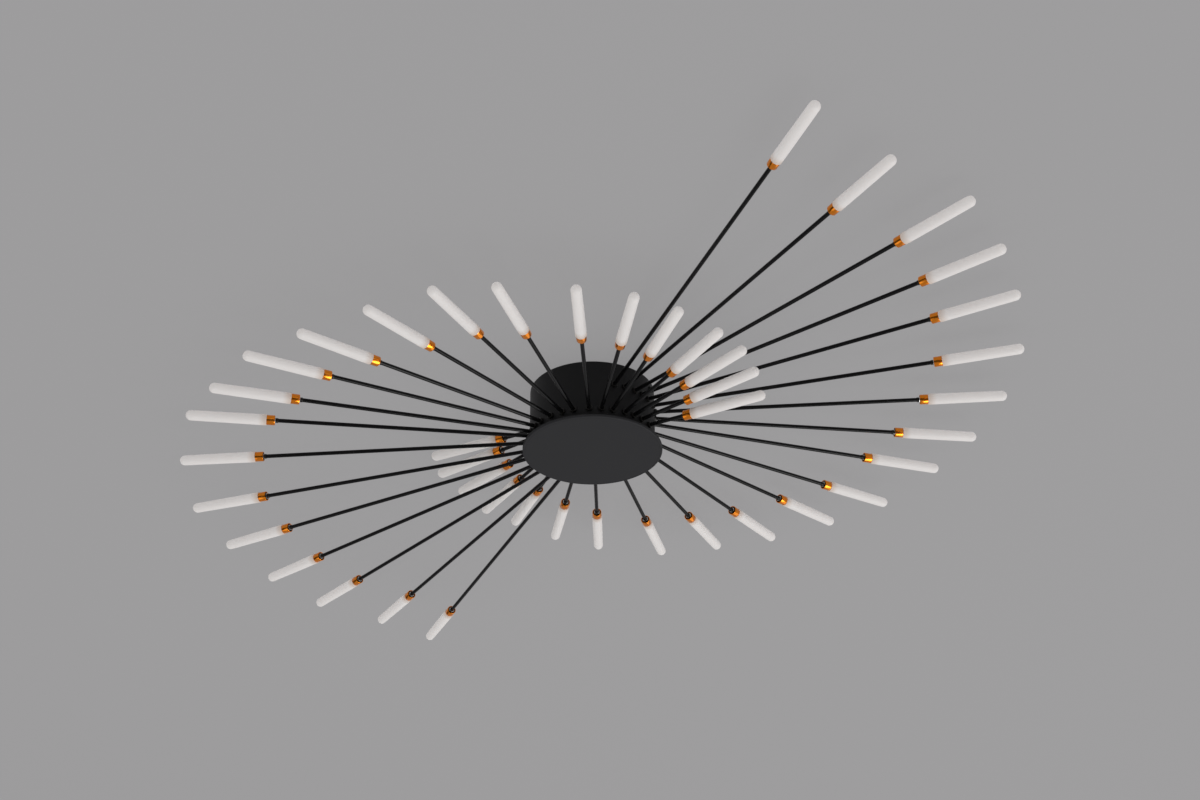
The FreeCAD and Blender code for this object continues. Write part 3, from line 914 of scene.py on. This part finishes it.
def rod_hole_pegs():
    """A peg along each rod, which cuts its hole in the drum."""
    start, end = DRUM_INNER_RADIUS - OVERRUN, DRUM_RADIUS + OVERRUN
    pegs = []
    for tier in TIERS:
        for bearing, height, _ in ROD_FACTS[tier]:
            hole = peg("rod_hole", start, end, ROD_HOLE_RADIUS, ROD_HOLE_SIDES)
            pegs.append(moved(hole, z=height / MM, turn=bearing))
    return joined("rod_hole_pegs", pegs)


def stud_spots():
    """Where the cover's studs stand."""
    turns = [math.radians(turn) for turn in STUD_TURNS]
    return [(STUD_CIRCLE * math.cos(turn), STUD_CIRCLE * math.sin(turn)) for turn in turns]


def make_drum():
    """The pressed drum: a thin wall that bends into its floor, and a rounded rim at the ceiling."""
    low, floor = DRUM_BOTTOM, DRUM_FLOOR_TOP
    inner, outer = DRUM_INNER_RADIUS, DRUM_RADIUS
    bend = low + DRUM_BEND
    inner_bend = inner - DRUM_BEND + DRUM_SHEET
    half = DRUM_SHEET / 2
    profile = [(floor, 0)]
    profile += rounded((floor, inner_bend), (bend, inner), (floor, inner), steps=5)
    profile += rounded((-half, inner), (0, inner + half), (0, inner))
    profile += rounded((0, outer - half), (-half, outer), (0, outer))
    profile += rounded((bend, outer), (low, outer - DRUM_BEND), (low, outer), steps=6)
    profile.append((low, 0))
    reach = outer + OVERRUN
    across = moved(peg("screw_holes", -reach, reach, SCREW_HOLE_RADIUS), z=-SCREW_DROP)
    drum = cut(upright(turned("drum_shell", profile, DRUM_SIDES)), [rod_hole_pegs(), across])
    dressed(drum, satin_black_enamel(), ("canopy_drum",))


def make_disc(zinc):
    """The cover disc: a plate with rounded edges, a fine groove near its rim, and welded studs."""
    low, high, rim = DISC_BOTTOM, DRUM_BOTTOM, DISC_RADIUS
    groove_out = rim - DISC_EDGE - DISC_GROOVE_INSET
    groove_in = groove_out - DISC_GROOVE_WIDTH
    sunk = low + DISC_GROOVE_DEPTH
    profile = [(low, 0), (low, groove_in), (sunk, groove_in + DISC_GROOVE_DEPTH)]
    profile += [(sunk, groove_out - DISC_GROOVE_DEPTH), (low, groove_out)]
    profile += rounded((low, rim - DISC_EDGE), (low + DISC_EDGE, rim), (low, rim), steps=5)
    back = rim - DISC_BACK_EDGE
    profile += rounded((high - DISC_BACK_EDGE, rim), (high, back), (high, rim), steps=2)
    profile.append((high, 0))
    plate = object_for(upright(turned("cover_plate", profile, DRUM_SIDES)))
    dressed(plate, charcoal_powder_coat(), ("cover_disc",))
    root = STUD_RADIUS - THREAD_DEPTH
    length = DISC_HIGH.z / MM - high
    studs, nuts = [], []
    for x, y in stud_spots():
        stud = turned("stud", thread(0, length, root) + [(length, 0)], THREAD_SIDES, ridge(root))
        studs.append(upright(stud, x, y, high))
        nuts.append(upright(hex_nut("stud_nut", 0, NUT_HEIGHT), x, y, DRUM_FLOOR_TOP))
    dressed(object_for(joined("cover_studs", studs)), zinc)
    dressed(object_for(joined("cover_stud_nuts", nuts)), zinc, ("cover_nuts",))


def screw(name, tip, seat, radius, head_radius, head_height):
    """A round-headed screw along the X axis with a cross recess in its head."""
    root = radius - THREAD_DEPTH
    top = seat + head_height
    brow = top - head_height * HEAD_BROW_SHARE
    crown = head_radius * HEAD_CROWN_SHARE
    profile = thread(tip, seat, root) + [(seat, head_radius), (brow, head_radius)]
    profile += rounded((brow, head_radius), (top, crown), (top, head_radius), steps=5)
    profile.append((top, 0))
    arm = head_radius * RECESS_ARM_SHARE
    width = head_radius * RECESS_WIDTH_SHARE
    floor = top - head_height * RECESS_DEPTH_SHARE
    recess = []
    for length, breadth in ((arm, width), (width, arm)):
        bar = prism("recess", rectangle(length, breadth), floor, top + OVERRUN)
        recess.append(moved(bar, turn=math.pi / 2, axis="Y"))
    return cut(turned(name, profile, NUT_SIDES, ridge(root)), recess)


def make_canopy_screws():
    """The two screws that hold the drum to the bracket's ears, each one on its own body."""
    oxide = black_oxide_steel(object_place)
    for letter, turn in (("a", 0), ("b", math.pi)):
        made = screw(
            "drum_screw_" + letter, SCREW_LOW.x / MM, DRUM_RADIUS + SEAT_GAP, SCREW_RADIUS,
            SCREW_HEAD_RADIUS, SCREW_HEAD_HEIGHT,
        )
        moved(made.data, z=-SCREW_DROP, turn=turn)
        dressed(made, oxide, ("canopy_screw_" + letter,), "screw_" + letter)


def make_bracket(zinc):
    """The bent strip with its ears, ceiling slots, cable hole and screw holes."""
    far, near = EAR_FACE, EAR_FACE - BRACKET_SHEET
    bend, outer = BRACKET_BEND, BRACKET_BEND + BRACKET_SHEET
    under = -BRACKET_SHEET
    inside = rounded((near, under - bend), (near - bend, under), (near, under), steps=6)
    outside = rounded((far - outer, 0), (far, -outer), (far, 0), steps=8)
    right = outside + [(far, -EAR_DROP), (near, -EAR_DROP)] + inside
    outline = right + [(-x, z) for x, z in reversed(right)]
    strip = prism("bracket", outline, -BRACKET_WIDTH / 2, BRACKET_WIDTH / 2, BRACKET_EDGE)
    moved(strip, turn=math.pi / 2, axis="X")
    trim = (BRACKET_WIDTH - EAR_WIDTH) / 2 + OVERRUN
    low, high = under - OVERRUN, OVERRUN
    cutters = [prism("cable_hole", round_outline(CABLE_HOLE_RADIUS), low, high)]
    cutters.append(prism("earth_hole", round_outline(EARTH_RADIUS, EARTH_PLACE), low, high))
    for side in (-1, 1):
        slot = slot_outline(SLOT_LENGTH, SLOT_WIDTH, side * SLOT_PLACE)
        cutters.append(prism("slot", slot, low, high))
        for flank in (-1, 1):
            corner = rectangle(outer * 2, trim, side * far, flank * (EAR_WIDTH + trim) / 2)
            cutters.append(prism("trim", corner, -EAR_DROP - OVERRUN, OVERRUN))
    reach = far + OVERRUN
    cutters.append(moved(peg("ear_holes", -reach, reach, SCREW_RADIUS), z=-SCREW_DROP))
    dressed(cut(strip, cutters), zinc, ("ceiling_bracket",))


def make_earth_screw(zinc):
    """The earth screw up through the bracket, over a serrated washer."""
    seat = BRACKET_SHEET + WASHER_THICKNESS
    made = screw(
        "earth_terminal_screw", 0, seat, EARTH_RADIUS, EARTH_HEAD_RADIUS, EARTH_HEAD_HEIGHT
    )
    hanging(made.data, EARTH_PLACE)
    dressed(made, zinc, ("earth_screw",))
    # Each tooth takes four corners: two on its crest and two in the gap beside it.
    corners = WASHER_TEETH * 4
    outline = []
    for k in range(corners):
        turn = math.tau * k / corners
        radius = WASHER_RADIUS - (WASHER_TOOTH if k % 4 > 1 else 0)
        outline.append((EARTH_PLACE + radius * math.cos(turn), radius * math.sin(turn)))
    washer = prism("serrated_washer", outline, -seat, -BRACKET_SHEET)
    dressed(object_for(washer), zinc)


def make_terminal_block(zinc):
    """The terminal block: ribbed nylon with a brass clamp and a clamp screw for each pole."""
    x = TERMINAL_PLACE
    top = -BRACKET_SHEET
    low = top - TERMINAL_HEIGHT
    middle = (top + low) / 2
    depth = len(TERMINAL_POLES) * TERMINAL_PITCH
    body = prism("terminal_body", rectangle(TERMINAL_WIDTH, depth, x), low, top, TERMINAL_EDGE)
    run = TERMINAL_WIDTH / 2 + OVERRUN
    inside = TERMINAL_WIDTH / 2 - CLAMP_INSET
    outer, bore = WIRE_HOLE_RADIUS, CLAMP_BORE_RADIUS
    sleeve = [(-inside, outer), (-inside, bore), (inside, bore), (inside, outer), (-inside, outer)]
    cutters, clamps, screws = [], [], []
    for pole in TERMINAL_POLES:
        y = pole * TERMINAL_PITCH
        cutters.append(moved(peg("wire_hole", -run, run, WIRE_HOLE_RADIUS), x, y, middle))
        well = round_outline(SCREW_WELL_RADIUS, x, y)
        cutters.append(prism("screw_well", well, low - OVERRUN, low + SCREW_WELL_DEPTH))
        clamps.append(moved(turned("clamp", sleeve, HOLE_SIDES), x, y, middle))
        made = screw(
            "clamp_screw", 0, CLAMP_SCREW_LENGTH, CLAMP_SCREW_RADIUS, CLAMP_SCREW_HEAD_RADIUS,
            CLAMP_SCREW_HEAD_HEIGHT,
        )
        screws.append(hanging(mesh_alone(made), x, y, low + SCREW_WELL_DEPTH))
    for place in RIB_PLACES:
        groove = rectangle(TERMINAL_WIDTH * 2, RIB_GROOVE_WIDTH, x, place * TERMINAL_PITCH)
        cutters.append(prism("rib_groove", groove, low - OVERRUN, low + RIB_GROOVE_DEPTH))
    dressed(cut(body, cutters), natural_nylon(), ("terminal_block",))
    dressed(object_for(joined("terminal_clamps", clamps)), bare_brass())
    dressed(object_for(joined("terminal_screws", screws)), zinc)


def make_driver(zinc):
    """The driver's case: a moulded box with a lid seam, lead holes and an eased lug at each end."""
    low = DRUM_FLOOR_TOP
    half = DRIVER_LENGTH / 2
    outline = rectangle(DRIVER_LENGTH, DRIVER_WIDTH)
    case = prism("driver_case", outline, low, low + DRIVER_HEIGHT, DRIVER_EDGE)
    seam = low + DRIVER_HEIGHT * DRIVER_SEAM_SHARE
    around = rectangle(DRIVER_LENGTH * 2, DRIVER_LENGTH * 2)
    within = rectangle(DRIVER_LENGTH - DRIVER_SEAM * 2, DRIVER_WIDTH - DRIVER_SEAM * 2)
    core = prism("core", within, seam - OVERRUN, seam + OVERRUN)
    cutters = [mesh_alone(cut(prism("seam", around, seam, seam + DRIVER_SEAM), [core]))]
    for side in (-1, 1):
        start, end = sorted((side * (half - LEAD_HOLE_DEPTH), side * (half + OVERRUN)))
        for y in LEAD_HOLE_PLACES:
            hole = peg("lead_hole", start, end, LEAD_HOLE_RADIUS)
            cutters.append(moved(hole, 0, y, low + LEAD_HOLE_HEIGHT))
    white = white_driver_case()
    dressed(cut(case, cutters), white, ("led_driver",))
    lugs, screws = [], []
    for x in (-LUG_PLACE, LUG_PLACE):
        top = low + LUG_THICKNESS
        lug = prism("lug", rectangle(LUG_LENGTH, LUG_WIDTH, x), low, top, LUG_EDGE)
        hole = prism("hole", round_outline(DRIVER_SCREW_RADIUS, x), low - OVERRUN, top + OVERRUN)
        lugs.append(mesh_alone(cut(lug, [hole])))
        made = screw(
            "lug_screw", 0, LUG_THICKNESS + DRUM_SHEET, DRIVER_SCREW_RADIUS,
            DRIVER_SCREW_HEAD_RADIUS, DRIVER_SCREW_HEAD_HEIGHT,
        )
        screws.append(upright(mesh_alone(made), x, 0, DRUM_BOTTOM))
    dressed(object_for(joined("driver_lugs", lugs)), white)
    dressed(object_for(joined("lug_screws", screws)), zinc, ("driver_screws",))


# Stage, in metres and degrees: a pale ceiling that shows from below alone, a pale room, soft lights
# and cards. Lights and cards stand round the object, turned from the camera's bearing: each light
# (turn, drop angle, width, height, power) and each dark card (turn, left end, right end, height).
CAMERA_BEARING = 23.0
CEILING_GAP = 0.0005
CEILING_SIZE = 30.0
CEILING_COLOUR = "#E6E5E6"
CEILING_GLOW = "#8F8E8F"
CEILING_GLOW_SHARE = 0.88
BACKGROUND_COLOUR = "#9D9C9D"
LIGHT_COLOUR = "#FFFFFF"
ROOM_STRENGTH = 0.86
LIGHT_DISTANCE = 4.0
SOFT_LIGHTS = {
    "key_light": (82.0, 56.0, 2.5, 3.8, 26.0),
    "back_light": (130.0, 35.0, 2.8, 2.8, 14.0),
    "fill_light": (-85.0, 47.0, 2.0, 2.0, 7.0),
}
GLINT_STRENGTH = 3.2
GLINT_CARD_GAP = 0.05
CARD_COLOUR = "#3C3C3C"
CARD_DISTANCE = 6.0
DARK_CARDS = {"camera_card": (0.0, -6.0, 3.5, 7.0), "left_card": (-90.0, -8.0, 6.0, 3.5)}


def seen_rays(tree):
    """One for camera rays and rays off shiny or through clear surfaces, and zero for others."""
    path = add(tree, "ShaderNodeLightPath").outputs
    shown = path["Is Camera Ray"]
    for kind in ("Is Glossy Ray", "Is Transmission Ray"):
        shown = add(
            tree, "ShaderNodeMath", {0: shown, 1: path[kind]}, operation="MAXIMUM"
        ).outputs[0]
    return shown


def stage_plane(name, corners, material):
    """A flat piece of the stage, which isn't part of the object."""
    mesh = bpy.data.meshes.new(name)
    mesh.from_pydata(corners, [], [(0, 1, 2, 3)])
    mesh.materials.append(material)
    plane = object_for(mesh)
    return plane


def make_ceiling():
    """The ceiling above the light, clear from above so that the light's top can be seen too."""
    material, tree, shader = new_finish(
        "matt_ceiling_paint",
        {"Base Color": linear(CEILING_COLOUR), "Roughness": 0.9, "Specular IOR Level": 0.1},
    )
    share = add(
        tree, "ShaderNodeMath", {0: seen_rays(tree), 1: CEILING_GLOW_SHARE}, operation="MULTIPLY"
    ).outputs[0]
    glow = add(tree, "ShaderNodeEmission", {"Color": linear(CEILING_GLOW)}).outputs[0]
    paint = add(tree, "ShaderNodeMixShader", {0: share, 1: shader.outputs[0], 2: glow}).outputs[0]
    back = add(tree, "ShaderNodeNewGeometry").outputs["Backfacing"]
    clear = add(tree, "ShaderNodeBsdfTransparent").outputs[0]
    both = add(tree, "ShaderNodeMixShader", {0: back, 1: paint, 2: clear}).outputs[0]
    tree.links.new(both, tree.nodes["Material Output"].inputs["Surface"])
    # Its corners run clockwise as seen from above, so that it faces down.
    outline = reversed(rectangle(CEILING_SIZE, CEILING_SIZE))
    stage_plane("ceiling", [(x, y, CEILING_GAP) for x, y in outline], material)


def make_room():
    """An even pale room, which lights the object more softly than it shows."""
    world = bpy.data.worlds.new("room")
    bpy.context.scene.world = world
    world.use_nodes = True
    tree = world.node_tree
    light = add(
        tree, "ShaderNodeBackground", {"Color": linear(LIGHT_COLOUR), "Strength": ROOM_STRENGTH}
    ).outputs[0]
    view = add(tree, "ShaderNodeBackground", {"Color": linear(BACKGROUND_COLOUR)}).outputs[0]
    both = add(tree, "ShaderNodeMixShader", {0: seen_rays(tree), 1: light, 2: view}).outputs[0]
    tree.links.new(both, tree.nodes["World Output"].inputs["Surface"])


def direction(turn, drop_angle=0.0):
    """The way out from the object, this far right of the camera's bearing and this far down."""
    bearing = math.radians(CAMERA_BEARING + turn)
    drop = math.radians(drop_angle)
    level = Vector((math.sin(bearing), -math.cos(bearing), 0))
    return level * math.cos(drop) - Vector((0, 0, math.sin(drop)))


def card_finish(name, colour, strength=1.0):
    """A card's even glow."""
    material, tree, _ = new_finish(name, {})
    glow = add(
        tree, "ShaderNodeEmission", {"Color": linear(colour), "Strength": strength}
    ).outputs[0]
    tree.links.new(glow, tree.nodes["Material Output"].inputs["Surface"])
    return material


def hang_card(name, corners, material):
    """A card that is hidden from all but the reflections in shiny surfaces."""
    card = stage_plane(name, corners, material)
    card.visible_camera = False
    card.visible_diffuse = False
    card.visible_shadow = False
    card.visible_transmission = False


def make_glint_card():
    """A bright card just behind the key light's face, which gives polished metal its glints."""
    turn, drop_angle, width, height, _ = SOFT_LIGHTS["key_light"]
    middle = direction(turn, drop_angle) * (LIGHT_DISTANCE + GLINT_CARD_GAP)
    right = direction(turn + 90) * width / 2
    up = direction(turn, drop_angle - 90) * height / 2
    corners = [middle - right - up, middle + right - up, middle + right + up, middle - right + up]
    hang_card("key_glint_card", corners, card_finish("glint_card", LIGHT_COLOUR, GLINT_STRENGTH))


def make_soft_lights():
    """Wide soft lights that face the object."""
    for name, (turn, drop_angle, width, height, power) in SOFT_LIGHTS.items():
        light = bpy.data.lights.new(name, "AREA")
        light.shape = "RECTANGLE"
        light.size = width
        light.size_y = height
        light.energy = power
        holder = object_for(light)
        holder.location = direction(turn, drop_angle) * LIGHT_DISTANCE
        holder.rotation_euler = (-holder.location).to_track_quat("-Z", "Y").to_euler()
        holder.visible_camera = False


def make_dark_cards():
    """Dark cards hung from the ceiling, which put dark streaks by the bright ones in the caps."""
    material = card_finish("dark_card", CARD_COLOUR)
    for name, (turn, left, right, height) in DARK_CARDS.items():
        middle = direction(turn) * CARD_DISTANCE
        along = direction(turn + 90)
        down = Vector((0, 0, -height))
        start, end = middle + along * left, middle + along * right
        hang_card(name, [start, end, end + down, start + down], material)


# Camera, fitted to the ends of the lamps and to the drum's and disc's ellipses in the photograph.
# Its yaw, pitch and roll are in radians, and its lens and sensor in millimetres.
CAMERA_DROP_ANGLE = 30.849
CAMERA_DISTANCE = 2.53484
CAMERA_YAW = -0.0040
CAMERA_PITCH = -0.0032
CAMERA_ROLL = 0.0061
CAMERA_LENS = 58.7745
CAMERA_SENSOR = 36.0


def make_camera():
    """The camera, which faces the object's origin but for its small yaw, pitch and roll."""
    back, right = direction(0, CAMERA_DROP_ANGLE), direction(90)
    axes = Matrix((right, back.cross(right), back)).transposed()
    for angle, axis in ((CAMERA_YAW, 1), (CAMERA_PITCH, 0), (-CAMERA_ROLL, 2)):
        axes = Matrix.Rotation(angle, 3, axes.col[axis]) @ axes
    camera = bpy.data.cameras.new("camera")
    camera.sensor_width = CAMERA_SENSOR
    camera.lens = CAMERA_LENS
    holder = object_for(camera)
    holder.matrix_world = Matrix.Translation(back * CAMERA_DISTANCE) @ axes.to_4x4()
    bpy.context.scene.camera = holder


NICKEL = nickelled_steel()
ZINC = bright_zinc()
make_lamps(NICKEL)
make_rods(NICKEL)
make_drum()
make_disc(ZINC)
make_canopy_screws()
make_bracket(ZINC)
make_earth_screw(ZINC)
make_terminal_block(ZINC)
make_driver(ZINC)
make_ceiling()
make_room()
make_soft_lights()
make_glint_card()
make_dark_cards()
make_camera()
bpy.context.scene.view_settings.view_transform = "Standard"
